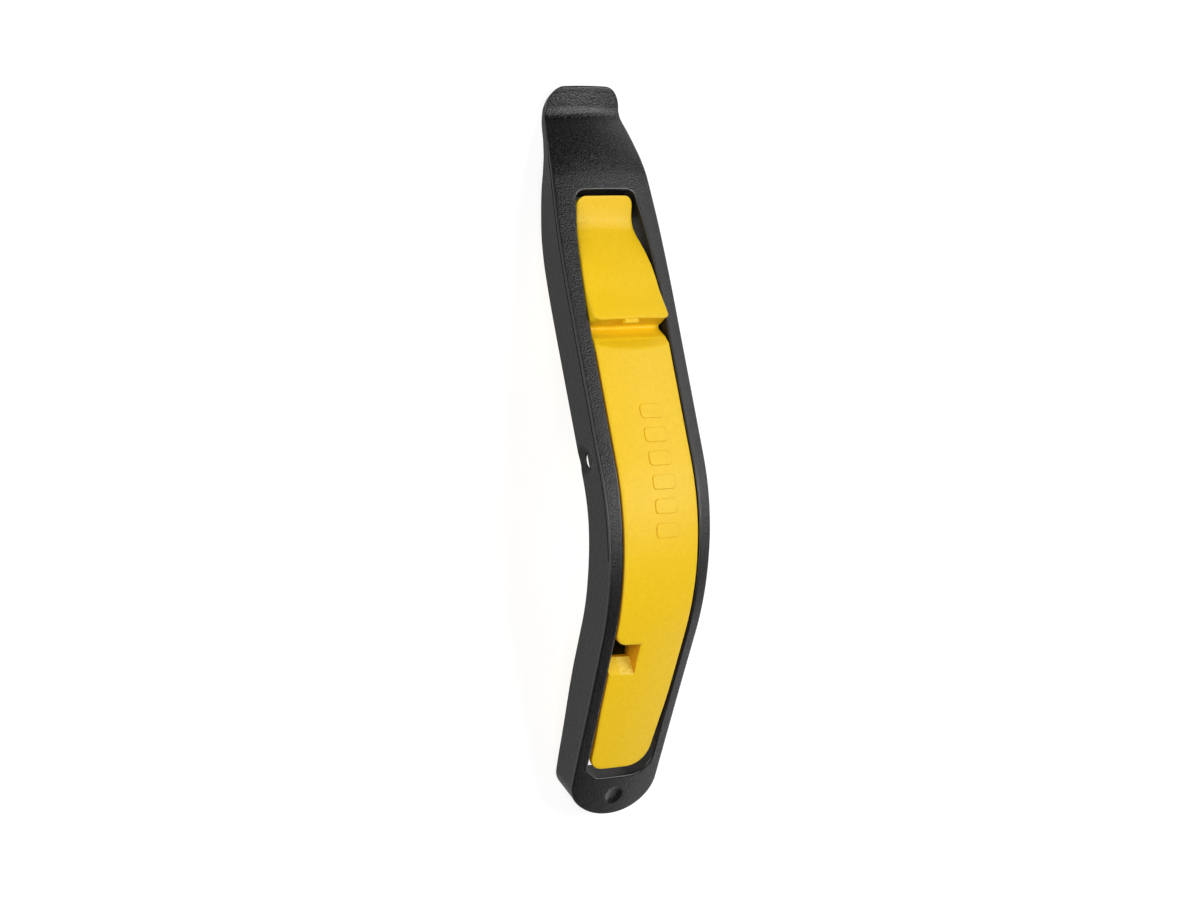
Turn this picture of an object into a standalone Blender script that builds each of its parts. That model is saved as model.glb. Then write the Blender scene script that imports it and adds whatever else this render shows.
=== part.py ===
"""Nested pair of bicycle tyre levers.

A long black outer lever has a window down its middle, and a shorter yellow inner lever lies
in that window. Both are first made as flat blanks, which are then sliced, given their heights
and thicknesses, and bent round one shared banana-shaped spine, so that they nest exactly.

Blank coordinates: x across the lever, s along it from the outer tip (s = 0) to the tail, and
h up from the spine, which is the middle of the outer lever's front face. On a blank, Blender's
Y is -s. Lengths are in millimetres until the bend, which gives metres.
World: +X across, +Y towards the tip, +Z up out of the front face. The pair stands like a
bridge on its tip and its tail, with the origin under the middle of its bounding box.
"""

import math

import bmesh
import bpy
from mathutils import Matrix, Vector

MM = 0.001

# Spine: straight, arc, straight.
UPPER_SLOPE = math.radians(19.9)    # of the tip side, before the pair is stood on its ends
LOWER_SLOPE = math.radians(21.0)    # of the tail side
BEND_START = 102.0
BEND_END = 150.0
BEND_RADIUS = (BEND_END - BEND_START) / (UPPER_SLOPE + LOWER_SLOPE)
CROWN_RADIUS = 80.0                 # of the front face, across the lever

# Outer lever.
OUTER_END = 203.6
OUTER_BLANK_DEPTH = 12.2
OUTER_HALF_WIDTH = [(0, 11.3), (4, 11.5), (7, 11.95), (9, 12.4), (12, 13.05), (16, 13.8),
                    (20, 14.5), (26, 15.2), (32, 15.65), (40, 16.15), (50, 16.45),
                    (58, 16.55), (98, 16.55), (108, 16.42), (120, 16.05), (132, 15.55),
                    (144, 15.1), (156, 14.65), (168, 14.22), (180, 13.87), (190, 13.6),
                    (204, 13.2)]
OUTER_FRONT = [(0, -0.3), (2, -1.1), (4, -2.05), (5.5, -2.75), (7, -3.05), (8, -2.95),
               (9, -2.7), (10, -2.4), (12, -1.85), (14, -1.4), (16, -1.0), (20, -0.35),
               (25, 0), (204, 0)]
OUTER_BACK = [(0, -2.0), (3, -4.0), (6, -5.9), (8, -6.2), (10.5, -5.9), (13.5, -5.4),
              (17.5, -5.3), (21.5, -5.95), (26, -7.4), (32, -9.0), (40, -10.5),
              (48, -11.1), (60, -11.2), (96, -10.95), (110, -10.9), (137, -12.0),
              (161, -12.0), (185, -10.4), (204, -9.4)]
TIP_CORNER = (5.4, 5.6)             # across, along
TAIL_CORNER = (13.3, 9.6)
TAIL_LEAN = 2.0                     # how far the tail's end wall leans in at the back
TAIL_LEAN_FROM = 184.0
SKIRT = 1.6
FRONT_PLATE = 2.4
HOLLOW_START = 17.0                 # the tip is solid up to here
HOLLOW_TOP_CORNER = (4.6, 4.6)
CROWN_SHARE = [(0, 1.6), (9, 1.6), (26, 1.0), (204, 1.0)]    # stronger crown at the tip

# Window of the outer lever, and the deep wall round it.
WINDOW_START = 29.0
WINDOW_END = 191.8
WINDOW_HALF_WIDTH = [(29, 9.2), (34, 9.9), (41, 10.9), (52, 11.75), (60, 12.05), (110, 12.1),
                     (132, 11.8), (148, 11.35), (160, 11.0), (172, 10.6), (192, 10.1)]
WINDOW_TOP_CORNER = (2.8, 2.8)
WINDOW_BOTTOM_LEFT = (4.4, 3.8)
WINDOW_BOTTOM_RIGHT = (6.0, 6.0)
WINDOW_WALL = 1.5
SHORT_WALL = (188.5, 195.0)         # here the window's wall stops short of the back
SHORT_WALL_X = 12.4
SHORT_WALL_DEPTH = 7.6

# Bridges across the window at the back, which the inner lever rests on.
BRIDGES = [(80.0, 92.0), (144.0, 162.0)]
BRIDGE_THICKNESS = 1.9              # from the back plane to the seat of the inner lever
TIP_SEAT = (28.2, 35.0)             # shelf behind the tip of the inner lever
TIP_SEAT_X = 9.8
TIP_SEAT_DEPTH = (8.5, 11.2)
BRIDGE_RECESS = 0.3                 # of the bridge's own back face

# Lanyard hole through the left skirt, in a shallow dish.
HOLE_S = 99.4
HOLE_H = -8.4
HOLE_RADIUS = 2.0
DISH_RADIUS = 4.2
DISH_DEPTH = 1.0

# Inner lever.
INNER_START = 30.3
INNER_END = 189.6
INNER_BLANK_DEPTH = 9.0
INNER_HALF_WIDTH = [(30, 8.6), (33, 8.8), (36, 8.8), (38, 8.95), (40, 9.3), (42, 9.8),
                    (44, 10.3), (46, 10.7), (48, 11.05), (50, 11.25), (54, 11.5),
                    (60, 11.7), (110, 11.75), (132, 11.45), (148, 10.95), (160, 10.6),
                    (170, 10.2), (189, 9.0)]
INNER_TIP_CORNER = (2.6, 2.4)
INNER_BOTTOM_LEFT = (3.8, 3.8)
INNER_BOTTOM_RIGHT = (6.4, 6.0)
LEDGE_S = 64.6                      # the proud finger ledge ends in a riser here
RISER = 0.3
INNER_FRONT = [(30, -0.35), (31, -0.8), (33, -1.7), (35, -2.5), (36.5, -2.95), (38.3, -3.1),
               (39.5, -3.0), (41, -2.65), (44, -1.85), (47, -1.1), (50, -0.5), (53, -0.05),
               (56, 0.3), (58, 0.7), (60, 1.2), (62, 1.75), (64.6, 2.1)]
GROOVE_FRONT = [(LEDGE_S + RISER, -4.1), (65.6, -4.05), (67, -3.25), (69.4, -1.55)]
GROOVE_END = 72.2                   # a flat facet rises from the groove to the crowned front
INNER_TAIL_FRONT = [(165, 0), (177, -0.3), (190, -0.8)]
INNER_BACK = [(30, -2.3), (33, -3.6), (36, -4.8), (39, -5.4), (44, -5.5), (50, -5.9),
              (57, -7.0), (64, -8.1), (72, -8.7), (86, -9.05), (110, -9.0), (137, -9.7),
              (151, -9.75), (158, -8.7), (175, -5.2), (183, -3.2), (190, -2.4)]
INNER_PLATE = 2.4
INNER_WALL = 1.6

# Spoke notch in the left edge of the inner lever, with a ramp below it.
NOTCH_TOP = 151.6
NOTCH_BOTTOM = 157.0
NOTCH_INNER_X = -3.2
NOTCH_MOUTH_RADIUS = 3.4
RAMP_END = 160.3
RAMP_DEPTH = 3.9

# Pockets in the back of the inner lever, two side by side in each span.
POCKET_SPANS = [(50.0, 61.0), (73.0, 84.0), (86.0, 97.0), (99.0, 110.0), (112.0, 123.0),
                (125.0, 136.0)]
POCKET_CORNER = 1.2
POCKET_MIDRIB = 1.6

# The lever is cut away from behind round the notch, which leaves a thin sloping plate.
RELIEF_X = (-14.0, -1.2)
RELIEF_S = (152.0, 164.0)
RELIEF_TOP = -5.1

# Moulding gate stub on the ledge.
GATE_X = (-2.9, 1.3)
GATE_LENGTH = 1.1
GATE_THICKNESS = 1.2
GATE_DROP = 0.4                     # below the middle of the ledge
GATE_ROOT = 1.0                     # how far the stub starts inside the ledge

EDGE_ROUND = 0.45
ARC_STEPS = 6                       # segments in a quarter of a corner
POCKET_ARC_STEPS = 3
HOLE_SEGMENTS = 24
DISH_SEGMENTS = 32
CLEAR = 1.0                         # how far a cutter runs past the face it opens
SLICE_STEP = 8.0                    # slices along the plain lengths
SLICE_SNAP = 0.01
WELD = 0.001
SMOOTH_ANGLE = math.radians(35)

# Finishes.
BLACK = (0.012, 0.012, 0.013)
BLACK_ROUGHNESS = 0.5
YELLOW = (0.84, 0.54, 0.012)
YELLOW_ROUGHNESS = 0.45

# Extra slices where a front face curves, and the columns across each lever.
OUTER_TIP_SLICES = [1.5, 3, 4.5, 6, 7.5, 9, 10.5, 12.5, 14.5, 17, 20, 23]
OUTER_SLICES_FROM = 26.0
OUTER_COLUMNS = [-14.3, -9, -4.5, 0, 4.5, 9, 14.3]
INNER_TIP_SLICES = [31.5, 33, 34.5, 36, 37.5, 39, 40.5, 42.5, 44.5, 47, 50, 53, 56, 59, 62]
GROOVE_SLICES = [LEDGE_S, LEDGE_S + RISER, 65.6, 66.3, 67.2, 68.3, 69.4, 70.6, 71.4, 72.2]
INNER_SLICES_FROM = 78.0
INNER_COLUMNS = [-8, -4, 0, 4, 8]


def smooth(stations, s):
    """Cubic through the stations, with no overshoot between them."""
    if s <= stations[0][0]:
        return stations[0][1]
    if s >= stations[-1][0]:
        return stations[-1][1]
    i = 0
    while stations[i + 1][0] < s:
        i += 1

    def chord(k):
        return (stations[k + 1][1] - stations[k][1]) / (stations[k + 1][0] - stations[k][0])

    def slope(k):
        if k == 0 or k == len(stations) - 1:
            return 0.0
        before, after = chord(k - 1), chord(k)
        if before * after <= 0:
            return 0.0
        return 2 * before * after / (before + after)

    width = stations[i + 1][0] - stations[i][0]
    t = (s - stations[i][0]) / width
    blend = t * t * (3 - 2 * t)
    value = stations[i][1] * (1 - blend) + stations[i + 1][1] * blend
    value += slope(i) * width * t * (1 - t) ** 2
    value -= slope(i + 1) * width * t * t * (1 - t)
    return value


def crown(x):
    return CROWN_RADIUS - math.sqrt(CROWN_RADIUS ** 2 - x * x)


def outer_front(x, s):
    return smooth(OUTER_FRONT, s) - crown(x) * smooth(CROWN_SHARE, s)


def outer_back(x, s):
    return smooth(OUTER_BACK, s)


def groove_front(s):
    """Height of the groove below the ledge, which is straight across the lever."""
    last_s, last_h = GROOVE_FRONT[-1]
    if s < last_s:
        return smooth(GROOVE_FRONT, s)
    return last_h * (GROOVE_END - s) / (GROOVE_END - last_s)


def inner_front(x, s):
    main = smooth(INNER_TAIL_FRONT, s) - crown(x)
    if s >= LEDGE_S + RISER:
        return min(main, groove_front(s))
    if s <= LEDGE_S:
        return smooth(INNER_FRONT, s) - crown(x)
    ledge = INNER_FRONT[-1][1] - crown(x)
    t = (s - LEDGE_S) / RISER
    return ledge * (1 - t) + GROOVE_FRONT[0][1] * t


def inner_back(x, s):
    return smooth(INNER_BACK, s)


def corner(start, width, radii, inset, towards_tail):
    """Quarter ellipse at one end of a side, from the side to the end edge."""
    across, along = radii
    sign = 1 if towards_tail else -1
    points = []
    for k in range(ARC_STEPS + 1):
        angle = 0.5 * math.pi * k / ARC_STEPS
        x = width - across + max(across - inset, 0.0) * math.cos(angle)
        s = start + sign * max(along - inset, 0.0) * math.sin(angle)
        points.append((x, s))
    return points


def side(ends, stations, tip_radii, tail_radii, inset):
    """One side of an outline, from the middle of its tip end to the middle of its tail end."""
    first, last = ends[0] + tip_radii[1], ends[1] - tail_radii[1]
    points = corner(first, smooth(stations, first), tip_radii, inset, False)[::-1]
    count = max(2, round((last - first) / SLICE_STEP))
    for k in range(1, count):
        s = first + (last - first) * k / count
        points.append((smooth(stations, s) - inset, s))
    points += corner(last, smooth(stations, last), tail_radii, inset, True)
    return [p for k, p in enumerate(points) if k == 0 or math.dist(p, points[k - 1]) > 0.05]


def outline(ends, stations, radii, inset=0.0):
    """Closed outline in blank coordinates; radii are tip, tail left, tail right."""
    right = side(ends, stations, radii[0], radii[2], inset)
    left = side(ends, stations, radii[0], radii[1], inset)
    loop = right + [(-x, s) for x, s in reversed(left)]
    return [p for k, p in enumerate(loop) if math.dist(p, loop[k - 1]) > 0.05]


def outer_outline(inset=0.0):
    radii = (TIP_CORNER, TAIL_CORNER, TAIL_CORNER)
    return outline((0.0, OUTER_END), OUTER_HALF_WIDTH, radii, inset)


def hollow_outline():
    radii = (HOLLOW_TOP_CORNER, TAIL_CORNER, TAIL_CORNER)
    return outline((HOLLOW_START, OUTER_END), OUTER_HALF_WIDTH, radii, SKIRT)


def window_outline(inset=0.0):
    radii = (WINDOW_TOP_CORNER, WINDOW_BOTTOM_LEFT, WINDOW_BOTTOM_RIGHT)
    return outline((WINDOW_START, WINDOW_END), WINDOW_HALF_WIDTH, radii, inset)


def inner_outline(inset=0.0):
    radii = (INNER_TIP_CORNER, INNER_BOTTOM_LEFT, INNER_BOTTOM_RIGHT)
    return outline((INNER_START, INNER_END), INNER_HALF_WIDTH, radii, inset)


def rectangle(x0, x1, s0, s1, radius=0.0):
    if radius == 0.0:
        return [(x0, s0), (x1, s0), (x1, s1), (x0, s1)]
    points = []
    centres = [(x1 - radius, s1 - radius), (x0 + radius, s1 - radius),
               (x0 + radius, s0 + radius), (x1 - radius, s0 + radius)]
    for quarter, (cx, cs) in enumerate(centres):
        for k in range(POCKET_ARC_STEPS + 1):
            angle = 0.5 * math.pi * (quarter + k / POCKET_ARC_STEPS)
            points.append((cx + radius * math.cos(angle), cs + radius * math.sin(angle)))
    return points


def flat_solid(name, loops, bottom, top, collection, edge=0.0):
    """A flat outline, with any holes in it, extruded between two heights."""
    curve = bpy.data.curves.new(name, "CURVE")
    curve.dimensions = "2D"
    curve.fill_mode = "BOTH"
    curve.extrude = 0.5 * (top - bottom) - edge
    curve.bevel_depth = edge
    curve.offset = -edge
    curve.bevel_resolution = 0
    for loop in loops:
        spline = curve.splines.new("POLY")
        spline.points.add(len(loop) - 1)
        for point, (x, s) in zip(spline.points, loop):
            point.co = (x, -s, 0.0, 1.0)
        spline.use_cyclic_u = True
    drawn = bpy.data.objects.new(name + "_curve", curve)
    collection.objects.link(drawn)
    bpy.context.view_layer.update()
    evaluated = drawn.evaluated_get(bpy.context.evaluated_depsgraph_get())
    mesh = bpy.data.meshes.new_from_object(evaluated)
    bpy.data.objects.remove(drawn)
    work = bmesh.new()
    work.from_mesh(mesh)
    bmesh.ops.remove_doubles(work, verts=work.verts, dist=0.1 * WELD)
    bmesh.ops.translate(work, verts=work.verts, vec=(0, 0, 0.5 * (top + bottom)))
    work.to_mesh(mesh)
    work.free()
    return linked(name, mesh, collection)


def linked(name, mesh, collection):
    solid = bpy.data.objects.new(name, mesh)
    collection.objects.link(solid)
    return solid


def cut(target, cutter, operation="DIFFERENCE"):
    """Boolean with a cutter, applied at once, because slicing follows it."""
    cutter.hide_render = True
    cutter.display_type = "WIRE"
    modifier = target.modifiers.new(operation.title(), "BOOLEAN")
    modifier.operation = operation
    modifier.solver = "EXACT"
    modifier.object = cutter
    bpy.context.view_layer.update()
    evaluated = target.evaluated_get(bpy.context.evaluated_depsgraph_get())
    mesh = bpy.data.meshes.new_from_object(evaluated)
    target.modifiers.clear()
    target.data = mesh


def slice_blank(target, s_cuts, x_cuts):
    """Cut the blank's faces along planes, so that it can take up heights and the bend."""
    work = bmesh.new()
    work.from_mesh(target.data)
    planes = [(Vector((0, -s, 0)), Vector((0, 1, 0))) for s in s_cuts]
    planes += [(Vector((x, 0, 0)), Vector((1, 0, 0))) for x in x_cuts]
    for point, normal in planes:
        geometry = work.verts[:] + work.edges[:] + work.faces[:]
        bmesh.ops.bisect_plane(work, geom=geometry, dist=SLICE_SNAP, plane_co=point,
                               plane_no=normal)
    bmesh.ops.remove_doubles(work, verts=work.verts, dist=WELD)
    bmesh.ops.triangulate(work, faces=work.faces[:])
    work.to_mesh(target.data)
    work.free()


def steps_from(first, last):
    """Evenly spaced slices from first to the end of a lever."""
    return [first + SLICE_STEP * k for k in range(1 + int((last - first) / SLICE_STEP))]


def shape_blank(target, front, back, depth, plate):
    """Give a blank its real front and back heights, keeping the plate under its front face."""
    for vertex in target.data.vertices:
        x, s, h = vertex.co.x, -vertex.co.y, vertex.co.z
        top, bottom = front(x, s), back(x, s)
        kept = min(plate, 0.6 * (top - bottom))
        if h > -plate:
            height = top + h * kept / plate
        else:
            t = (h + plate) / (plate - depth)
            height = (top - kept) * (1 - t) + bottom * t
        vertex.co.z = height


def lean_tail(target):
    """Lean the end wall of the tail inwards, more the nearer it is to the back."""
    for vertex in target.data.vertices:
        along = (-vertex.co.y - TAIL_LEAN_FROM) / (OUTER_END - TAIL_LEAN_FROM)
        deep = min(vertex.co.z / OUTER_BACK[-1][1], 1.0)
        if along > 0 and deep > 0:
            vertex.co.y += TAIL_LEAN * along * along * deep


def bend_point(x, s, h):
    """Where a point of the blank goes on the bent lever, still in millimetres."""
    angle = UPPER_SLOPE - (s - BEND_START) / BEND_RADIUS
    angle = min(max(angle, -LOWER_SLOPE), UPPER_SLOPE)
    beyond = max(BEND_START - s, 0.0) - max(s - BEND_END, 0.0)
    y = (BEND_RADIUS + h) * math.sin(angle) + beyond * math.cos(angle)
    z = (BEND_RADIUS + h) * math.cos(angle) - beyond * math.sin(angle)
    return Vector((x, y, z))


def standing_matrix():
    """Turn that stands the bent pair on the lowest back point of each half, in metres."""
    halves = ([0.5 * k for k in range(100)], [OUTER_END - 0.5 * k for k in range(100)])
    turn = Matrix.Identity(4)
    for _ in range(4):
        lows = []
        for half in halves:
            points = [bend_point(0, s, smooth(OUTER_BACK, s)) for s in half]
            lows.append(min(points, key=lambda point: (turn @ point).z))
        tilt = math.atan2(lows[0].z - lows[1].z, lows[0].y - lows[1].y)
        turn = Matrix.Rotation(-tilt, 4, "X")
    return Matrix.Scale(MM, 4) @ turn


def bend(target, placing):
    for vertex in target.data.vertices:
        vertex.co = placing @ bend_point(vertex.co.x, -vertex.co.y, vertex.co.z)
    target.data.update()


def cone_along_x(name, radii, x_range, segments, collection):
    """Cone or cylinder centred on the lanyard hole, its first radius at the lower x."""
    mesh = bpy.data.meshes.new(name)
    work = bmesh.new()
    turn = Matrix.Rotation(math.radians(90), 4, "Y")
    place = Matrix.Translation((0.5 * sum(x_range), -HOLE_S, HOLE_H))
    bmesh.ops.create_cone(work, cap_ends=True, segments=segments, radius1=radii[0],
                          radius2=radii[1], depth=x_range[1] - x_range[0],
                          matrix=place @ turn)
    work.to_mesh(mesh)
    work.free()
    return linked(name, mesh, collection)


def cut_lanyard_hole(lever, cutters):
    """Hole through the left skirt, sunk in a shallow dish."""
    wall = -smooth(OUTER_HALF_WIDTH, HOLE_S)
    slope = (DISH_RADIUS - HOLE_RADIUS) / DISH_DEPTH
    mouth = DISH_RADIUS + slope * CLEAR
    cut(lever, cone_along_x("dish", (mouth, HOLE_RADIUS), (wall - CLEAR, wall + DISH_DEPTH),
                            DISH_SEGMENTS, cutters))
    through = (wall - CLEAR, wall + SKIRT + 0.5 * CLEAR)
    cut(lever, cone_along_x("lanyard_hole", (HOLE_RADIUS, HOLE_RADIUS), through,
                            HOLE_SEGMENTS, cutters))


def make_outer(parts, cutters):
    deep = -OUTER_BLANK_DEPTH
    lever = flat_solid("outer_lever", [outer_outline(), window_outline()], deep, 0.0, parts,
                       EDGE_ROUND)
    cut(lever, flat_solid("hollow", [hollow_outline(), window_outline(-WINDOW_WALL)],
                          deep - CLEAR, -FRONT_PLATE, cutters))
    for number, (start, end) in enumerate(BRIDGES):
        reach = smooth(WINDOW_HALF_WIDTH, end) + 0.5 * WINDOW_WALL
        bridge = flat_solid(f"bridge_{number}", [rectangle(-reach, reach, start, end)],
                            deep + BRIDGE_RECESS, deep + BRIDGE_THICKNESS, cutters)
        cut(lever, bridge, "UNION")
    tip_seat = rectangle(-TIP_SEAT_X, TIP_SEAT_X, *TIP_SEAT)
    cut(lever, flat_solid("tip_seat", [tip_seat], -TIP_SEAT_DEPTH[1], -TIP_SEAT_DEPTH[0],
                          cutters), "UNION")
    below_wall = rectangle(-SHORT_WALL_X, SHORT_WALL_X, *SHORT_WALL)
    cut(lever, flat_solid("short_wall", [below_wall], deep - CLEAR, -SHORT_WALL_DEPTH, cutters))
    cut_lanyard_hole(lever, cutters)
    slices = OUTER_TIP_SLICES + steps_from(OUTER_SLICES_FROM, OUTER_END)
    slice_blank(lever, slices, OUTER_COLUMNS)
    shape_blank(lever, outer_front, outer_back, OUTER_BLANK_DEPTH, FRONT_PLATE)
    lean_tail(lever)
    return lever


def notch_outline():
    """Slot from the left edge, whose upper corner is rounded off at the mouth."""
    edge = -smooth(INNER_HALF_WIDTH, NOTCH_TOP)
    radius = NOTCH_MOUTH_RADIUS
    points = [(NOTCH_INNER_X, NOTCH_BOTTOM), (NOTCH_INNER_X, NOTCH_TOP)]
    for k in range(ARC_STEPS + 1):
        angle = 0.5 * math.pi * k / ARC_STEPS
        x = edge + radius * (1 - math.sin(angle))
        s = NOTCH_TOP - radius * (1 - math.cos(angle))
        points.append((x, s))
    outside = edge - CLEAR
    points += [(outside, NOTCH_TOP - radius), (outside, NOTCH_BOTTOM)]
    return points


def ramp_wedge(cutters):
    """Wedge that falls from the front face towards the lower lip of the notch."""
    outside = -smooth(INNER_HALF_WIDTH, NOTCH_TOP) - CLEAR
    start = 0.5 * (NOTCH_TOP + NOTCH_BOTTOM)
    wedge = flat_solid("ramp", [rectangle(outside, NOTCH_INNER_X, start, RAMP_END)],
                       -CLEAR, CLEAR, cutters)
    fall = RAMP_DEPTH / (RAMP_END - NOTCH_BOTTOM)
    for vertex in wedge.data.vertices:
        if vertex.co.z < 0:
            vertex.co.z = -fall * (RAMP_END + vertex.co.y)
    return wedge


def pocket_outlines():
    loops = []
    for start, end in POCKET_SPANS:
        reach = min(smooth(INNER_HALF_WIDTH, start), smooth(INNER_HALF_WIDTH, end))
        inside, outside = 0.5 * POCKET_MIDRIB, reach - INNER_WALL
        loops.append(rectangle(inside, outside, start, end, POCKET_CORNER))
        loops.append(rectangle(-outside, -inside, start, end, POCKET_CORNER))
    return loops


def make_inner(parts, cutters):
    deep = -INNER_BLANK_DEPTH
    lever = flat_solid("inner_lever", [inner_outline()], deep, 0.0, parts, EDGE_ROUND)
    cut(lever, flat_solid("spoke_notch", [notch_outline()], deep - CLEAR, CLEAR, cutters))
    cut(lever, ramp_wedge(cutters))
    cut(lever, flat_solid("ramp_relief", [rectangle(*RELIEF_X, *RELIEF_S)], deep - CLEAR,
                          RELIEF_TOP, cutters))
    cut(lever, flat_solid("pockets", pocket_outlines(), deep - CLEAR, -INNER_PLATE, cutters))
    slices = INNER_TIP_SLICES + GROOVE_SLICES + steps_from(INNER_SLICES_FROM, INNER_END)
    slice_blank(lever, slices, INNER_COLUMNS)
    shape_blank(lever, inner_front, inner_back, INNER_BLANK_DEPTH, INNER_PLATE)
    return lever


def gate_stub(cutters):
    top = INNER_FRONT[-1][1] - GATE_DROP
    stub = flat_solid("gate_stub", [rectangle(*GATE_X, LEDGE_S - GATE_ROOT,
                                              LEDGE_S + GATE_LENGTH)],
                      top - GATE_THICKNESS, top, cutters)
    slice_blank(stub, [], [])
    return stub


def plastic(name, colour, roughness):
    material = bpy.data.materials.new(name)
    material.use_nodes = True
    shader = material.node_tree.nodes["Principled BSDF"]
    shader.inputs["Base Color"].default_value = (*colour, 1.0)
    shader.inputs["Roughness"].default_value = roughness
    shader.inputs["Metallic"].default_value = 0.0
    material.diffuse_color = (*colour, 1.0)
    return material


def finish(lever, material, shift):
    mesh = lever.data
    mesh.transform(Matrix.Translation(shift))
    mesh.materials.clear()
    mesh.materials.append(material)
    mesh.shade_smooth()
    mesh.set_sharp_from_angle(angle=SMOOTH_ANGLE)


def box_shift(objects):
    """Shift that puts the origin under the middle of the bounding box."""
    corners = [v.co for thing in objects for v in thing.data.vertices]
    low = Vector([min(c[k] for c in corners) for k in range(3)])
    high = Vector([max(c[k] for c in corners) for k in range(3)])
    return Vector((-0.5 * (low.x + high.x), -0.5 * (low.y + high.y), -low.z))


def main():
    for thing in list(bpy.data.objects):
        bpy.data.objects.remove(thing)
    parts = bpy.data.collections.new("tyre_lever")
    cutters = bpy.data.collections.new("cutters")
    bpy.context.scene.collection.children.link(parts)
    bpy.context.scene.collection.children.link(cutters)

    outer = make_outer(parts, cutters)
    inner = make_inner(parts, cutters)
    stub = gate_stub(cutters)
    placing = standing_matrix()
    for piece in (outer, inner, stub):
        bend(piece, placing)
    cut(inner, stub, "UNION")
    shift = box_shift([outer, inner])
    finish(outer, plastic("black_nylon", BLACK, BLACK_ROUGHNESS), shift)
    finish(inner, plastic("yellow_nylon", YELLOW, YELLOW_ROUGHNESS), shift)


main()
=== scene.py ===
"""Looks of the nested tyre lever pair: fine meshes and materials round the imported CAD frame.

Both levers are made again at high resolution with the CAD model's own design: a flat blank in
millimetres (x across, s along from the outer tip, h up from the spine), sliced, given its
front and back heights, bent round the spine and stood on its ends.
"""

import math

import bmesh
import bpy
from mathutils import Matrix, Vector


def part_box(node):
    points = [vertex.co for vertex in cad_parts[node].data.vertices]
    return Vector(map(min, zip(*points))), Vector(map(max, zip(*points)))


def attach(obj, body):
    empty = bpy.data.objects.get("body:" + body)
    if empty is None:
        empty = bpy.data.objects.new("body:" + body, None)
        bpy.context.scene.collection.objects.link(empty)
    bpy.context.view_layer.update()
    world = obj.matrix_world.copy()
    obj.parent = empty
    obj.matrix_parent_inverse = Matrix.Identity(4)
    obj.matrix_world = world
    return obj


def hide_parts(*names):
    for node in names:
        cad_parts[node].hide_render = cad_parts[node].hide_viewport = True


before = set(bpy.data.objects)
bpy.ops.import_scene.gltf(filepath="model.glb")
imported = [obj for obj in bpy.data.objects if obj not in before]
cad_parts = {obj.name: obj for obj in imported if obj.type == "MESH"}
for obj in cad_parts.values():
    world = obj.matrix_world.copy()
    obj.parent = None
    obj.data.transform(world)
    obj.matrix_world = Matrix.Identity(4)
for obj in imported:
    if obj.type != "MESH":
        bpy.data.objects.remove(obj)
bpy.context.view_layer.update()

MM = 0.001

# ---------------------------------------------------------------- the levers' shared design
UPPER_SLOPE = math.radians(19.9)
LOWER_SLOPE = math.radians(21.0)
BEND_START = 102.0
BEND_END = 150.0
BEND_RADIUS = (BEND_END - BEND_START) / (UPPER_SLOPE + LOWER_SLOPE)
CROWN_RADIUS = 80.0

OUTER_END = 203.6
OUTER_BLANK_DEPTH = 12.2
OUTER_HALF_WIDTH = [(0, 11.3), (4, 11.5), (7, 11.95), (9, 12.4), (12, 13.05), (16, 13.8),
                    (20, 14.5), (26, 15.2), (32, 15.65), (40, 16.15), (50, 16.45),
                    (58, 16.55), (98, 16.55), (108, 16.42), (120, 16.05), (132, 15.55),
                    (144, 15.1), (156, 14.65), (168, 14.22), (180, 13.87), (190, 13.6),
                    (204, 13.2)]
OUTER_FRONT = [(0, -0.3), (2, -1.1), (4, -2.05), (5.5, -2.75), (7, -3.05), (8, -2.95),
               (9, -2.7), (10, -2.4), (12, -1.85), (14, -1.4), (16, -1.0), (20, -0.35),
               (25, 0), (204, 0)]
OUTER_BACK = [(0, -2.0), (3, -4.0), (6, -5.9), (8, -6.2), (10.5, -5.9), (13.5, -5.4),
              (17.5, -5.3), (21.5, -5.95), (26, -7.4), (32, -9.0), (40, -10.5),
              (48, -11.1), (60, -11.2), (96, -10.95), (110, -10.9), (137, -12.0),
              (161, -12.0), (185, -10.4), (204, -9.4)]
TIP_CORNER = (5.4, 5.6)
TAIL_CORNER = (13.3, 9.6)
TAIL_LEAN = 2.0
TAIL_LEAN_FROM = 184.0
SKIRT = 1.6
FRONT_PLATE = 2.4
PLATE_SHARE = 0.6                   # a front plate takes at most this share of the depth
HOLLOW_START = 17.0
HOLLOW_TOP_CORNER = (4.6, 4.6)
CROWN_SHARE = [(0, 1.6), (9, 1.6), (26, 1.0), (204, 1.0)]    # stronger crown at the tip

WINDOW_START = 29.0
WINDOW_END = 191.8
WINDOW_HALF_WIDTH = [(29, 9.2), (34, 9.9), (41, 10.9), (52, 11.75), (60, 12.05), (110, 12.1),
                     (132, 11.8), (148, 11.35), (160, 11.0), (172, 10.6), (192, 10.1)]
WINDOW_TOP_CORNER = (2.8, 2.8)
WINDOW_BOTTOM_LEFT = (4.4, 3.8)
WINDOW_BOTTOM_RIGHT = (6.0, 6.0)
WINDOW_WALL = 1.5
SHORT_WALL = (188.5, 195.0)
SHORT_WALL_X = 12.4
SHORT_WALL_DEPTH = 7.6
BRIDGES = [(80.0, 92.0), (144.0, 162.0)]
BRIDGE_THICKNESS = 1.9
TIP_SEAT = (28.2, 35.0)
TIP_SEAT_X = 9.8
TIP_SEAT_DEPTH = (8.5, 11.2)
BRIDGE_RECESS = 0.3

HOLE_S = 99.4
HOLE_H = -8.4
HOLE_RADIUS = 2.0

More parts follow.
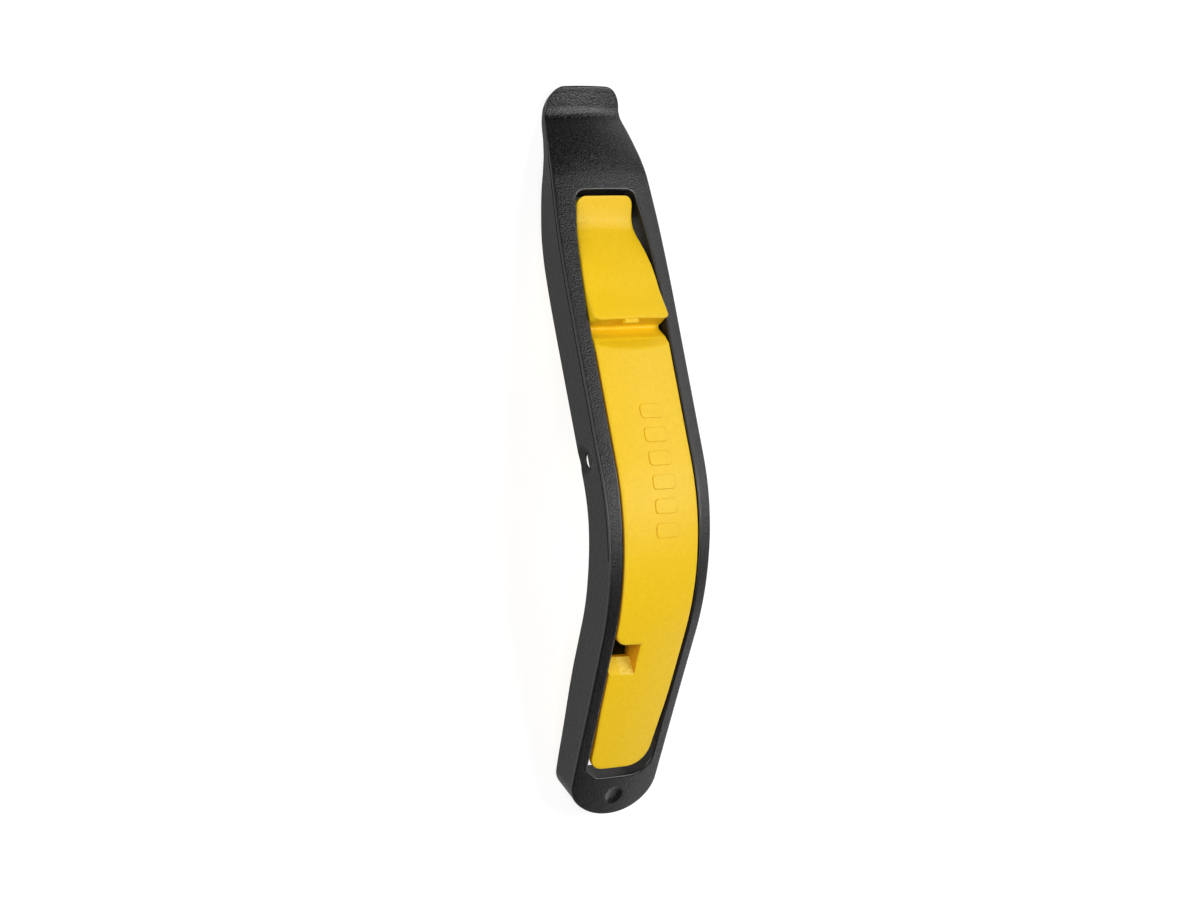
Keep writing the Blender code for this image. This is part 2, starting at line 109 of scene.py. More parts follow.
INNER_START = 30.3
INNER_END = 189.6
INNER_BLANK_DEPTH = 9.0
INNER_HALF_WIDTH = [(30, 8.6), (33, 8.8), (36, 8.8), (38, 8.95), (40, 9.3), (42, 9.8),
                    (44, 10.3), (46, 10.7), (48, 11.05), (50, 11.25), (54, 11.5),
                    (60, 11.7), (110, 11.75), (132, 11.45), (148, 10.95), (160, 10.6),
                    (170, 10.2), (189, 9.0)]
INNER_TIP_CORNER = (2.6, 2.4)
INNER_BOTTOM_LEFT = (3.8, 3.8)
INNER_BOTTOM_RIGHT = (6.4, 6.0)
LEDGE_S = 64.6
RISER = 0.3
LEDGE_ROUND = 0.45
LEDGE_CORNER = 2.0
LEDGE_DRAW = 4.0                    # length over which the ledge's corners are drawn back
LEDGE_PULL = 0.8                    # share of a corner's rounding that is drawn back
GROOVE_ROUND = 0.9
INNER_FRONT = [(30, -0.35), (31, -0.8), (33, -1.7), (35, -2.5), (36.5, -2.95), (38.3, -3.1),
               (39.5, -3.0), (41, -2.65), (44, -1.85), (47, -1.1), (50, -0.5), (53, -0.05),
               (56, 0.3), (58, 0.7), (60, 1.2), (62, 1.75), (64.6, 2.1)]
GROOVE_FRONT = [(LEDGE_S + RISER, -4.1), (65.6, -4.05), (67, -3.25), (69.4, -1.55)]
GROOVE_END = 72.2                   # a flat facet rises from the groove to the crowned front
INNER_TAIL_FRONT = [(165, 0), (177, -0.3), (190, -0.8)]
INNER_BACK = [(30, -2.3), (33, -3.6), (36, -4.8), (39, -5.4), (44, -5.5), (50, -5.9),
              (57, -7.0), (64, -8.1), (72, -8.7), (86, -9.05), (110, -9.0), (137, -9.7),
              (151, -9.75), (158, -8.7), (175, -5.2), (183, -3.2), (190, -2.4)]
INNER_PLATE = 2.4
INNER_WALL = 1.6

NOTCH_TOP = 151.6
NOTCH_BOTTOM = 157.0
NOTCH_INNER_X = -3.2
NOTCH_MOUTH_RADIUS = 3.4
NOTCH_CLEAR = 0.3                   # the plain outline stops this far from the notch
RAMP_END = 160.3
RAMP_DEPTH = 3.9
RAMP_GRAIN_X = -7.2

POCKET_SPANS = [(50.0, 61.0), (73.0, 84.0), (86.0, 97.0), (99.0, 110.0), (112.0, 123.0),
                (125.0, 136.0)]
POCKET_CORNER = 1.2
POCKET_MIDRIB = 1.6

GATE_X = (-2.9, 1.3)
GATE_LENGTH = 1.1
GATE_THICKNESS = 1.2
GATE_DROP = 0.4
GATE_ROOT = 1.0

RELIEF_X = (-14.0, -1.2)
RELIEF_S = (152.0, 164.0)
RELIEF_TOP = -5.1

# ---------------------------------------------------------------- detail that only the looks need
ARC_STEPS = 14
OUTLINE_STEP = 2.0
CORNER_STEPS = 6
MERGE = 0.05                        # outline points nearer than this are one point
EDGE_ROUND = 0.5
INNER_EDGE_ROUND = 0.7
EDGE_SEGMENTS = 3
LIP_DEPTH = 0.62                    # from the front edge down to the parting groove
LIP_GROOVE = (0.55, 0.6)            # height and depth of that groove
LIP_GROOVE_END = 128.0
LIP_OVERLAP = 0.02                  # how far the groove reaches above the lip's depth
SIDE_STEP = 0.12                    # the side wall lies this far inside the lip
GRIP_PADS = 6                       # plain low pads along the middle of the inner lever
GRIP_SPAN = (89.0, 120.5)           # middles of the first and last pads
GRIP_X = (-2.3, 4.8)
GRIP_PAD_LENGTH = 3.9
GRIP_PAD_CORNER = 1.1
GRIP_HEIGHT = 0.28
GRIP_ROOT = 0.5
GRIP_EDGE = 0.2
DIMPLE_S = 197.6
DIMPLE_RADIUS = 2.6
DIMPLE_DEPTH = 0.4
WELD = 0.0001
PAST = 1.0                          # how far a cutter reaches past the faces that it cuts
WIDE = 30.0                         # reach of a cutter that spans a whole lever
STAND_SEARCH = [0.5 * k for k in range(100)]    # distances from an end where it may touch

# Where the blanks are sliced, so that they can bend: first place, step and number of slices.
OUTER_SLICES = [(0.75, 0.75, 35), (27.0, 2.0, 89)]
OUTER_X_SLICES = [(-15.6, 1.2, 27)]
INNER_SLICES = [(31.05, 0.75, 43), (66.2, 0.4, 16), (74.0, 2.0, 58)]
INNER_X_SLICES = [(-10.8, 1.2, 19), (RAMP_GRAIN_X, 0.0, 1)]
SLICE_SNAP = 0.004                  # a slice this near a point goes through the point
SLICE_WELD = 0.002
QUARTER_TURN = [math.radians(15 * k) for k in range(7)]     # slices of a rounded edge

HOLE_DISH = [(-1.5, 6.5), (-0.04, 4.75), (0.05, 4.4), (0.2, 4.0), (0.42, 3.5), (0.66, 3.0),
             (0.82, 2.7), (0.9, 2.5), (1.0, 2.3), (1.15, 2.18), (1.3, HOLE_RADIUS),
             (SKIRT + 0.4, HOLE_RADIUS)]    # depth from the side wall, and radius there

# The third slot is the black lever's smooth edge bead, and on the yellow lever a deeper orange
# that is painted shade on its walls.
FRONT_SLOT, SIDE_SLOT, BEAD_AND_SHADED_WALL_SLOT = 0, 1, 2

# ---------------------------------------------------------------- finishes and studio, in metres
POLISH_SPAN = (0.060, 0.078)        # the tip's finish gets smoother between these Y
SHARP_EDGE = math.radians(38)
NORMAL_WEIGHT = 80

FLOOR_SIZE = 6.0
FLOOR_DROP = 0.0004
FLOOR_GREY = (0.32, 0.32, 0.32, 1.0)
FLOOR_GLOW = 0.80                   # the floor lights itself, so the shadows on it stay faint

# Soft panels: place, aim, size and power in watts.
PANELS = {
    "panel": ((0.50, 0.17, 0.80), (0.0, 0.0, 0.02), (0.36, 0.75), 6.8),
    "left_fill": ((-0.75, 0.05, 0.70), (0.0, 0.0, 0.0), (0.8, 1.1), 9.0),
    "tail_light": ((0.85, -0.70, 0.28), (0.0, -0.05, 0.02), (0.5, 0.35), 1.1),
}
ROOM_STOPS = [(0.0, (1.0, 1.0, 1.0)), (0.08, (0.8, 0.8, 0.8)), (0.22, (0.10, 0.10, 0.10)),
              (0.5, (0.02, 0.02, 0.02))]

SENSOR_WIDTH = 36.0                 # in mm
CAMERA_LENS = 97.05                 # in mm
CAMERA_NEAR = 0.05
CAMERA_PLACE = (-0.4770, 0.0554, 0.7167)
CAMERA_RIGHT = (0.8291, -0.0168, 0.5588)
CAMERA_UP = (0.0498, 0.9978, -0.0439)
CAMERA_BACK = (-0.5568, 0.0642, 0.8281)


def smooth(stations, s):
    """Cubic through the stations, with no overshoot between them."""
    if s <= stations[0][0]:
        return stations[0][1]
    if s >= stations[-1][0]:
        return stations[-1][1]
    i = 0
    while stations[i + 1][0] < s:
        i += 1

    def chord(k):
        return (stations[k + 1][1] - stations[k][1]) / (stations[k + 1][0] - stations[k][0])

    def slope(k):
        if k == 0 or k == len(stations) - 1:
            return 0.0
        before, after = chord(k - 1), chord(k)
        if before * after <= 0:
            return 0.0
        return 2 * before * after / (before + after)

    width = stations[i + 1][0] - stations[i][0]
    t = (s - stations[i][0]) / width
    blend = t * t * (3 - 2 * t)
    value = stations[i][1] * (1 - blend) + stations[i + 1][1] * blend
    value += slope(i) * width * t * (1 - t) ** 2
    value -= slope(i + 1) * width * t * t * (1 - t)
    return value


def crown(x):
    return CROWN_RADIUS - math.sqrt(CROWN_RADIUS ** 2 - x * x)


def outer_front(x, s):
    return smooth(OUTER_FRONT, s) - crown(x) * smooth(CROWN_SHARE, s)


def outer_back(x, s):
    return smooth(OUTER_BACK, s)


def fillet(distance, radius):
    """How far a quarter round has fallen at this distance from its far end."""
    run = min(max(distance / radius, 0.0), 1.0)
    return radius * (1 - math.sqrt(1 - run * run))


def groove_front(s):
    """Height of the groove below the ledge, which is straight across the lever."""
    last_s, last_h = GROOVE_FRONT[-1]
    foot = fillet(LEDGE_S + RISER + GROOVE_ROUND - s, GROOVE_ROUND)
    if s < last_s:
        return smooth(GROOVE_FRONT, s) + foot
    return last_h * (GROOVE_END - s) / (GROOVE_END - last_s)


def inner_front(x, s):
    main = smooth(INNER_TAIL_FRONT, s) - crown(x)
    if s >= LEDGE_S + RISER:
        return min(main, groove_front(s))
    if s <= LEDGE_S:
        rounding = fillet(s - (LEDGE_S - LEDGE_ROUND), LEDGE_ROUND)
        return smooth(INNER_FRONT, s) - crown(x) - rounding
    ledge = INNER_FRONT[-1][1] - crown(x) - LEDGE_ROUND
    t = (s - LEDGE_S) / RISER
    return ledge * (1 - t) + (GROOVE_FRONT[0][1] + GROOVE_ROUND) * t


def inner_back(x, s):
    return smooth(INNER_BACK, s)


def corner(start, width, radii, inset, towards_tail):
    """Quarter ellipse at one end of a side, from the side to the end edge."""
    across, along = radii
    sign = 1 if towards_tail else -1
    points = []
    for k in range(ARC_STEPS + 1):
        angle = 0.5 * math.pi * k / ARC_STEPS
        x = width - across + max(across - inset, 0.0) * math.cos(angle)
        s = start + sign * max(along - inset, 0.0) * math.sin(angle)
        points.append((x, s))
    return points


def side(ends, stations, tip_radii, tail_radii, inset):
    """One side of an outline, from the middle of its tip end to the middle of its tail end."""
    first, last = ends[0] + tip_radii[1], ends[1] - tail_radii[1]
    points = corner(first, smooth(stations, first), tip_radii, inset, False)[::-1]
    count = max(2, round((last - first) / OUTLINE_STEP))
    for k in range(1, count):
        s = first + (last - first) * k / count
        points.append((smooth(stations, s) - inset, s))
    points += corner(last, smooth(stations, last), tail_radii, inset, True)
    return points


def without_doubles(loop):
    return [p for k, p in enumerate(loop) if math.dist(p, loop[k - 1]) > MERGE]


def outline(ends, stations, radii, inset=0.0):
    """Closed outline in blank coordinates; radii are tip, tail left, tail right."""
    right = side(ends, stations, radii[0], radii[2], inset)
    left = side(ends, stations, radii[0], radii[1], inset)
    return without_doubles(right + [(-x, s) for x, s in reversed(left)])


def outer_outline(inset=0.0):
    radii = (TIP_CORNER, TAIL_CORNER, TAIL_CORNER)
    return outline((0.0, OUTER_END), OUTER_HALF_WIDTH, radii, inset)


def hollow_outline():
    radii = (HOLLOW_TOP_CORNER, TAIL_CORNER, TAIL_CORNER)
    return outline((HOLLOW_START, OUTER_END), OUTER_HALF_WIDTH, radii, SKIRT)


def window_outline(inset=0.0):
    radii = (WINDOW_TOP_CORNER, WINDOW_BOTTOM_LEFT, WINDOW_BOTTOM_RIGHT)
    return outline((WINDOW_START, WINDOW_END), WINDOW_HALF_WIDTH, radii, inset)


def inner_outline():
    """Outline of the inner lever, with the spoke notch let into its left side."""
    radii = (INNER_TIP_CORNER, INNER_BOTTOM_LEFT, INNER_BOTTOM_RIGHT)
    plain = outline((INNER_START, INNER_END), INNER_HALF_WIDTH, radii)
    radius = NOTCH_MOUTH_RADIUS
    above = NOTCH_TOP - radius
    edge_above = -smooth(INNER_HALF_WIDTH, above)
    edge_below = -smooth(INNER_HALF_WIDTH, NOTCH_BOTTOM)
    notch = [(edge_below, NOTCH_BOTTOM), (NOTCH_INNER_X, NOTCH_BOTTOM),
             (NOTCH_INNER_X, NOTCH_TOP)]
    for k in range(ARC_STEPS + 1):
        angle = 0.5 * math.pi * k / ARC_STEPS
        notch.append((edge_above + radius * (1 - math.sin(angle)),
                      NOTCH_TOP - radius * (1 - math.cos(angle))))
    before = [p for p in plain if p[0] > 0 or p[1] > NOTCH_BOTTOM + NOTCH_CLEAR]
    turn = next(k for k, p in enumerate(plain) if p[0] < 0 and p[1] < above - NOTCH_CLEAR)
    return without_doubles(before[:plain.index(before[-1]) + 1] + notch + plain[turn:])


def rectangle(x0, x1, s0, s1, radius=0.0):
    if radius == 0.0:
        return [(x0, s0), (x1, s0), (x1, s1), (x0, s1)]
    points = []
    centres = [(x1 - radius, s1 - radius), (x0 + radius, s1 - radius),
               (x0 + radius, s0 + radius), (x1 - radius, s0 + radius)]
    for quarter, (cx, cs) in enumerate(centres):
        for k in range(CORNER_STEPS + 1):
            angle = 0.5 * math.pi * (quarter + k / CORNER_STEPS)
            points.append((cx + radius * math.cos(angle), cs + radius * math.sin(angle)))
    return points


# ---------------------------------------------------------------- blanks
def flat_solid(name, loops, bottom, top, edge=0.0, segments=EDGE_SEGMENTS):
    """A flat outline, with any holes in it, extruded between two heights."""
    curve = bpy.data.curves.new(name, "CURVE")
    curve.dimensions = "2D"
    curve.fill_mode = "BOTH"
    curve.extrude = 0.5 * (top - bottom) - edge
    curve.bevel_depth = edge
    curve.offset = -edge
    curve.bevel_resolution = segments - 1
    for loop in loops:
        spline = curve.splines.new("POLY")
        spline.points.add(len(loop) - 1)
        for point, (x, s) in zip(spline.points, loop):
            point.co = (x, -s, 0.0, 1.0)
        spline.use_cyclic_u = True
    drawn = bpy.data.objects.new(name + "_curve", curve)
    bpy.context.scene.collection.objects.link(drawn)
    bpy.context.view_layer.update()
    evaluated = drawn.evaluated_get(bpy.context.evaluated_depsgraph_get())
    mesh = bpy.data.meshes.new_from_object(evaluated)
    work = bmesh.new()
    work.from_mesh(mesh)
    bmesh.ops.remove_doubles(work, verts=work.verts, dist=WELD)
    bmesh.ops.translate(work, verts=work.verts, vec=(0, 0, 0.5 * (top + bottom)))
    work.to_mesh(mesh)
    work.free()
    bpy.data.objects.remove(drawn)
    return as_object(name, mesh)


def as_object(name, mesh):
    thing = bpy.data.objects.new(name, mesh)
    bpy.context.scene.collection.objects.link(thing)
    return thing


def lathe_along_x(name, profile, s, h, segments=64):
    """Closed turned solid about a line along x; profile is (x, radius) pairs between caps."""
    mesh = bpy.data.meshes.new(name)
    work = bmesh.new()
    rings = []
    for x, radius in profile:
        ring = []
        for k in range(segments):
            angle = 2 * math.pi * k / segments
            ring.append(work.verts.new((x, -s + radius * math.cos(angle),
                                        h + radius * math.sin(angle))))
        rings.append(ring)
    for first, second in zip(rings, rings[1:]):
        for k in range(segments):
            j = (k + 1) % segments
            work.faces.new((first[k], first[j], second[j], second[k]))
    work.faces.new(rings[0][::-1])
    work.faces.new(rings[-1])
    bmesh.ops.recalc_face_normals(work, faces=work.faces)
    work.to_mesh(mesh)
    work.free()
    return as_object(name, mesh)


def cut(target, cutter, operation="DIFFERENCE"):
    modifier = target.modifiers.new("Cut", "BOOLEAN")
    modifier.operation = operation
    modifier.solver = "EXACT"
    modifier.object = cutter
    bpy.context.view_layer.update()
    evaluated = target.evaluated_get(bpy.context.evaluated_depsgraph_get())
    mesh = bpy.data.meshes.new_from_object(evaluated)
    target.modifiers.clear()
    target.data = mesh
    bpy.data.objects.remove(cutter)


def spaced(rows):
    """Evenly spaced places from rows of first place, step and number."""
    return [first + step * k for first, step, count in rows for k in range(count)]


def slice_blank(target, s_cuts, x_cuts):
    work = bmesh.new()
    work.from_mesh(target.data)
    planes = [(Vector((0, -s, 0)), Vector((0, 1, 0))) for s in s_cuts]
    planes += [(Vector((x, 0, 0)), Vector((1, 0, 0))) for x in x_cuts]
    for point, normal in planes:
        geometry = work.verts[:] + work.edges[:] + work.faces[:]
        bmesh.ops.bisect_plane(work, geom=geometry, dist=SLICE_SNAP, plane_co=point,
                               plane_no=normal)
    bmesh.ops.remove_doubles(work, verts=work.verts, dist=SLICE_WELD)
    bmesh.ops.triangulate(work, faces=[f for f in work.faces if len(f.verts) > 4])
    work.to_mesh(target.data)
    work.free()


def shape_blank(target, front, back, depth, plate):
    """Give a sliced blank its front and back heights, keeping the front plate's thickness."""
    for vertex in target.data.vertices:
        x, s, h = vertex.co.x, -vertex.co.y, vertex.co.z
        top, bottom = front(x, s), back(x, s)
        kept = min(plate, PLATE_SHARE * (top - bottom))
        if h > -plate:
            height = top + h * kept / plate
        else:
            t = (h + plate) / (plate - depth)
            height = (top - kept) * (1 - t) + bottom * t
        vertex.co.z = height


def lean_tail(target):
    """Lean the end wall of the tail inwards, more the nearer it is to the back."""
    for vertex in target.data.vertices:
        along = (-vertex.co.y - TAIL_LEAN_FROM) / (OUTER_END - TAIL_LEAN_FROM)
        deep = min(vertex.co.z / OUTER_BACK[-1][1], 1.0)
        if along > 0 and deep > 0:
            vertex.co.y += TAIL_LEAN * along * along * deep


def bend_point(x, s, h):
    angle = UPPER_SLOPE - (s - BEND_START) / BEND_RADIUS
    angle = min(max(angle, -LOWER_SLOPE), UPPER_SLOPE)
    beyond = max(BEND_START - s, 0.0) - max(s - BEND_END, 0.0)
    y = (BEND_RADIUS + h) * math.sin(angle) + beyond * math.cos(angle)
    z = (BEND_RADIUS + h) * math.cos(angle) - beyond * math.sin(angle)
    return Vector((x, y, z))


def standing_matrix():
    """Turn that stands the bent pair on the lowest back point of each half, in metres."""
    halves = (STAND_SEARCH, [OUTER_END - distance for distance in STAND_SEARCH])
    turn = Matrix.Identity(4)
    for _ in range(4):
        lows = []
        for half in halves:
            points = [bend_point(0, s, smooth(OUTER_BACK, s)) for s in half]
            lows.append(min(points, key=lambda point: (turn @ point).z))
        tilt = math.atan2(lows[0].z - lows[1].z, lows[0].y - lows[1].y)
        turn = Matrix.Rotation(-tilt, 4, "X")
    return Matrix.Scale(MM, 4) @ turn


def bend(target, placing):
    for vertex in target.data.vertices:
        vertex.co = placing @ bend_point(vertex.co.x, -vertex.co.y, vertex.co.z)
    target.data.update()


def paint_faces(target, choose):
    for face in target.data.polygons:
        face.material_index = choose(face)


def black_finish(face):
    """Grain on the front cap, a smooth bead round its edges, satin on everything else."""
    if face.center.z < -LIP_DEPTH or face.normal.z < -0.2:
        return SIDE_SLOT
    return FRONT_SLOT if face.normal.z > 0.99 else BEAD_AND_SHADED_WALL_SLOT


# ---------------------------------------------------------------- outer lever
def make_outer():
    deep = -OUTER_BLANK_DEPTH
    lever = flat_solid("outer_lever_moulding", [outer_outline(), window_outline()], deep, 0.0,
                       EDGE_ROUND)
    cut(lever, flat_solid("hollow", [hollow_outline(), window_outline(-WINDOW_WALL)],
                          deep - PAST, -FRONT_PLATE))
    add_seats(lever, deep)
    below_wall = rectangle(-SHORT_WALL_X, SHORT_WALL_X, *SHORT_WALL)
    cut(lever, flat_solid("short_wall", [below_wall], deep - PAST, -SHORT_WALL_DEPTH))
    cut_side(lever, deep)
    wall = -smooth(OUTER_HALF_WIDTH, HOLE_S) + SIDE_STEP
    dish = [(wall + x, radius) for x, radius in HOLE_DISH]
    cut(lever, lathe_along_x("lanyard_hole", dish, HOLE_S, HOLE_H))
    cut(lever, dimple())
    paint_faces(lever, black_finish)
    slice_blank(lever, spaced(OUTER_SLICES), spaced(OUTER_X_SLICES))
    shape_blank(lever, outer_front, outer_back, OUTER_BLANK_DEPTH, FRONT_PLATE)
    lean_tail(lever)
    return lever


def add_seats(lever, deep):
    """Two bridges across the window that carry the inner lever, and a shelf behind its tip."""
    for start, end in BRIDGES:
        reach = smooth(WINDOW_HALF_WIDTH, end) + 0.5 * WINDOW_WALL
        cut(lever, flat_solid("bridge", [rectangle(-reach, reach, start, end)],
                              deep + BRIDGE_RECESS, deep + BRIDGE_THICKNESS), "UNION")
    tip_seat = rectangle(-TIP_SEAT_X, TIP_SEAT_X, *TIP_SEAT)
    cut(lever, flat_solid("tip_seat", [tip_seat], -TIP_SEAT_DEPTH[1], -TIP_SEAT_DEPTH[0]),
        "UNION")


def cut_side(lever, deep):
    """Set the side wall back below the lip, with a parting groove that stops in the bend."""
    outside = outer_outline(-2 * PAST)
    cut(lever, flat_solid("side_step", [outside, outer_outline(SIDE_STEP)], deep - PAST,
                          -LIP_DEPTH))
    height, inset = LIP_GROOVE
    groove = flat_solid("lip_groove", [outside, outer_outline(inset)], -LIP_DEPTH - height,
                        -LIP_DEPTH + LIP_OVERLAP)
    tail = rectangle(-WIDE, WIDE, LIP_GROOVE_END, OUTER_END + WIDE)
    cut(groove, flat_solid("plain_tail", [tail], deep, PAST))
    cut(lever, groove)


def dimple():
    """Shallow round dimple near the tail, a ball's cap below the flat front."""
    ball = (DIMPLE_RADIUS ** 2 + DIMPLE_DEPTH ** 2) / (2 * DIMPLE_DEPTH)
    mesh = bpy.data.meshes.new("dimple")
    work = bmesh.new()
    place = Matrix.Translation((0, -DIMPLE_S, ball - DIMPLE_DEPTH))
    bmesh.ops.create_uvsphere(work, u_segments=64, v_segments=96, radius=ball, matrix=place)
    work.to_mesh(mesh)
    work.free()
    return as_object("dimple", mesh)


# ---------------------------------------------------------------- inner lever
def ramp_wedge():
    """Cutter for the ramp that falls from the front towards the spoke notch."""
    face = rectangle(-WIDE, NOTCH_INNER_X, NOTCH_BOTTOM - PAST, RAMP_END)
    wedge = flat_solid("ramp", [face], -PAST, 2 * PAST)
    fall = RAMP_DEPTH / (RAMP_END - NOTCH_BOTTOM)
    for vertex in wedge.data.vertices:
        if vertex.co.z < 0:
            vertex.co.z = -fall * (RAMP_END + vertex.co.y)
    return wedge


def pocket_outlines():
    loops = []
    for start, end in POCKET_SPANS:
        reach = min(smooth(INNER_HALF_WIDTH, start), smooth(INNER_HALF_WIDTH, end))
        inside, outside = 0.5 * POCKET_MIDRIB, reach - INNER_WALL
        loops.append(rectangle(inside, outside, start, end, POCKET_CORNER))
        loops.append(rectangle(-outside, -inside, start, end, POCKET_CORNER))
    return loops


def grip_outlines():
    loops = []
    pitch = (GRIP_SPAN[1] - GRIP_SPAN[0]) / (GRIP_PADS - 1)
    half = 0.5 * GRIP_PAD_LENGTH
    for k in range(GRIP_PADS):
        s = GRIP_SPAN[0] + pitch * k
        loops.append(rectangle(*GRIP_X, s - half, s + half, GRIP_PAD_CORNER))
    return loops


def make_inner():
    deep = -INNER_BLANK_DEPTH
    lever = flat_solid("inner_lever_moulding", [inner_outline()], deep, 0.0, INNER_EDGE_ROUND)
    cut(lever, ramp_wedge())
    relief = rectangle(*RELIEF_X, *RELIEF_S)
    cut(lever, flat_solid("ramp_relief", [relief], deep - PAST, RELIEF_TOP))
    cut(lever, flat_solid("grip_pads", grip_outlines(), -GRIP_ROOT, GRIP_HEIGHT, GRIP_EDGE),
        "UNION")
    cut(lever, flat_solid("pockets", pocket_outlines(), deep - PAST, -INNER_PLATE))
    ledge_cuts = [LEDGE_S - LEDGE_ROUND * (1 - math.sin(angle)) for angle in QUARTER_TURN]
    foot = LEDGE_S + RISER
    ledge_cuts += [foot + GROOVE_ROUND * (1 - math.cos(angle)) for angle in QUARTER_TURN]
    slice_blank(lever, spaced(INNER_SLICES) + ledge_cuts, spaced(INNER_X_SLICES))
    paint_faces(lever, yellow_finish)
    shape_blank(lever, inner_front, inner_back, INNER_BLANK_DEPTH, INNER_PLATE)
    pull_ledge_back(lever)
    return lever


def pull_ledge_back(lever):
    """Round the two corners of the ledge by drawing its ends back along the lever."""
    half = smooth(INNER_HALF_WIDTH, LEDGE_S)
    start, end = LEDGE_S - LEDGE_DRAW, LEDGE_S + RISER + SLICE_SNAP
    for vertex in lever.data.vertices:
        s = -vertex.co.y
        if start < s < end and vertex.co.z > GROOVE_FRONT[0][1] + GROOVE_ROUND:
            share = (s - start) / (end - start)
            back = fillet(abs(vertex.co.x) - (half - LEDGE_CORNER), LEDGE_CORNER)
            vertex.co.y += LEDGE_PULL * back * share * share


def yellow_finish(face):
    """Grain on the middle of the ramp, and a deeper tone that stands in for shade on the walls."""
    s = -face.center.y
    tilted = 0.5 < face.normal.z < 0.95
    if tilted and RAMP_GRAIN_X < face.center.x < NOTCH_INNER_X and NOTCH_BOTTOM < s < RAMP_END:
        return SIDE_SLOT
    return BEAD_AND_SHADED_WALL_SLOT if abs(face.normal.z) < 0.3 and s > GROOVE_END else FRONT_SLOT


def gate_stub():
    """Short stub left by the mould's gate under the ledge."""
    top = INNER_FRONT[-1][1] - GATE_DROP
    stub = rectangle(*GATE_X, LEDGE_S - GATE_ROOT, LEDGE_S + GATE_LENGTH)
    return flat_solid("gate_stub", [stub], top - GATE_THICKNESS, top)


def finish_surface(lever, materials, shift):
    mesh = lever.data
    mesh.transform(Matrix.Translation(shift))
    for material in materials:
        mesh.materials.append(material)
    mesh.shade_smooth()
    mesh.set_sharp_from_angle(angle=SHARP_EDGE)
    weighted = lever.modifiers.new("Weighted normals", "WEIGHTED_NORMAL")
    weighted.keep_sharp = True
    weighted.weight = NORMAL_WEIGHT


def box_of(thing):
    corners = [v.co for v in thing.data.vertices]
    low = Vector([min(c[k] for c in corners) for k in range(3)])
    high = Vector([max(c[k] for c in corners) for k in range(3)])
    return low, high


def shift_to_cad(lever):
    """Shift from the bent blank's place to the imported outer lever's place."""
    low, high = box_of(lever)
    cad_low, cad_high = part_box("outer_lever")
    middle = 0.5 * (cad_low.y + cad_high.y - low.y - high.y)
    return Vector((0.0, middle, cad_low.z - low.z))


# ---------------------------------------------------------------- materials
def node(tree, kind, **settings):
    made = tree.nodes.new(kind)
    for key, value in settings.items():
        setattr(made, key, value)
    return made


def noise(tree, coordinates, scale, detail=2.0, roughness=0.5):
    made = node(tree, "ShaderNodeTexNoise")
    made.inputs["Scale"].default_value = scale
    made.inputs["Detail"].default_value = detail
    made.inputs["Roughness"].default_value = roughness
    tree.links.new(coordinates, made.inputs["Vector"])
    return made.outputs["Fac"]


def ramp(tree, source, stops):
    made = node(tree, "ShaderNodeValToRGB")
    elements = made.color_ramp.elements
    while len(elements) < len(stops):
        elements.new(0.5)
    for element, (place, colour) in zip(elements, stops):
        element.position = place
        element.color = (*colour, 1.0)
    tree.links.new(source, made.inputs["Fac"])
    return made.outputs["Color"]


def spread(tree, source, low, high):
    made = node(tree, "ShaderNodeMapRange")
    made.inputs["To Min"].default_value = low
    made.inputs["To Max"].default_value = high
    tree.links.new(source, made.inputs["Value"])
    return made.outputs["Result"]


def bump(tree, heights, strength, distance, below=None):
    made = node(tree, "ShaderNodeBump")
    made.inputs["Strength"].default_value = strength
    made.inputs["Distance"].default_value = distance
    tree.links.new(heights, made.inputs["Height"])
    if below is not None:
        tree.links.new(below, made.inputs["Normal"])
    return made.outputs["Normal"]


def moulded_plastic(name, colours, gloss, grain, polish=None, specular=0.5):
    """Injection-moulded plastic: mottled colour, uneven roughness, spark-eroded grain.

    grain gives the size in metres of the mottling, of the uneven roughness, of the grain and
    of its finer part, then the depth of the grain. polish is how much smoother the tip is.
    """
    mottle_size, rough_size, grain_size, fine_size, depth = grain
    material = bpy.data.materials.new(name)
    material.use_nodes = True
    tree = material.node_tree
    shader = tree.nodes["Principled BSDF"]
    shader.inputs["Specular IOR Level"].default_value = specular
    place = node(tree, "ShaderNodeTexCoord").outputs["Object"]
    mottle = noise(tree, place, 1 / mottle_size, 4.0, 0.6)
    tree.links.new(ramp(tree, mottle, [(0.35, colours[0]), (0.65, colours[1])]),
                   shader.inputs["Base Color"])
    rough = spread(tree, noise(tree, place, 1 / rough_size, 2.0), *gloss)
    if polish:
        rough = less_at_tip(tree, place, rough, polish)
    tree.links.new(rough, shader.inputs["Roughness"])
    coarse = bump(tree, noise(tree, place, 1 / grain_size, 2.0, 0.5), 1.0, depth)
    fine = bump(tree, noise(tree, place, 1 / fine_size, 2.0, 0.6), 1.0, 0.6 * depth, coarse)
    tree.links.new(fine, shader.inputs["Normal"])
    return material


def less_at_tip(tree, place, rough, polish):
    """Roughness that drops a little towards the outer tip, so that its hook catches the light."""
    split = node(tree, "ShaderNodeSeparateXYZ")
    tree.links.new(place, split.inputs["Vector"])
    worn = node(tree, "ShaderNodeMapRange", interpolation_type="SMOOTHSTEP")
    worn.inputs["From Min"].default_value = POLISH_SPAN[0]
    worn.inputs["From Max"].default_value = POLISH_SPAN[1]
    worn.inputs["To Max"].default_value = -polish
    tree.links.new(split.outputs["Y"], worn.inputs["Value"])
    total = node(tree, "ShaderNodeMath", operation="ADD")
    tree.links.new(rough, total.inputs[0])
    tree.links.new(worn.outputs["Result"], total.inputs[1])
    return total.outputs["Value"]


